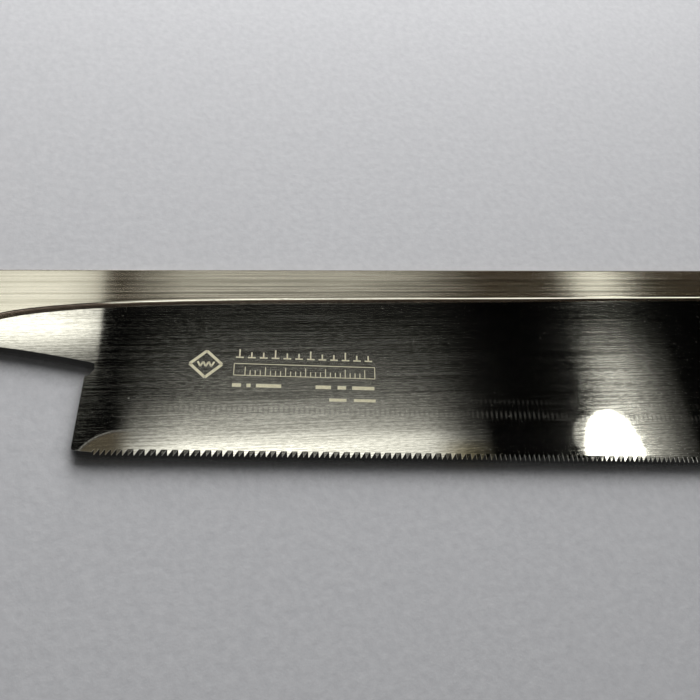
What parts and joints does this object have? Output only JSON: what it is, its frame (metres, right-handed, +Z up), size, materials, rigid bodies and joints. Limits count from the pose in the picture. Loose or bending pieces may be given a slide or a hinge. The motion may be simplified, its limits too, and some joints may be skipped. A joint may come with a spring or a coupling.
{
  "type": "pull-stroke back saw",
  "caption": "Slim Japanese-style pull saw: thin toothed steel plate in a folded steel back, its tang hooked into a straight oval handle wound with rattan.",
  "frame": {"origin": "centre of the flat end of the handle's butt, in the mid-plane of the blade", "axes": "+X along the handle towards the toe of the blade, +Z up with the back on top and the teeth pointing down, +Y across the blade"},
  "size_m": [0.608, 0.0279, 0.0765],
  "materials": {
    "plate_steel": "polished with fine lengthwise grinding lines",
    "back_steel": "satin, brushed lengthwise",
    "pin_steel": "ground",
    "holder_steel": "blued, satin",
    "pin_brass": "satin",
    "ferrule_brass": "brushed",
    "handle_wood": "oiled",
    "rattan": "split cane, satin"
  },
  "bodies": {
    "handle": {"blade_holder": "holder_steel", "cross_pins": "pin_brass", "ferrule": "ferrule_brass", "handle_half_left": "handle_wood", "handle_half_right": "handle_wood", "rattan_wrap": "rattan", "wrap_tacks": "pin_brass"},
    "hook": {"hook_pin": "pin_steel"},
    "blade": {"saw_plate": "plate_steel", "back": "back_steel", "tang_rivets": "pin_steel"}
  },
  "joints": [
    {"name": "blade_swing", "type": "hinge", "parent": "handle", "child": "hook", "pos_m": [0.289, 0, 0.004], "axis": [0, 1, 0], "range_deg": [0, 20]},
    {"name": "blade_lift_off", "type": "slide", "parent": "hook", "child": "blade", "axis": [0, 0, -1], "range_m": [0, 0.03]}
  ]
}
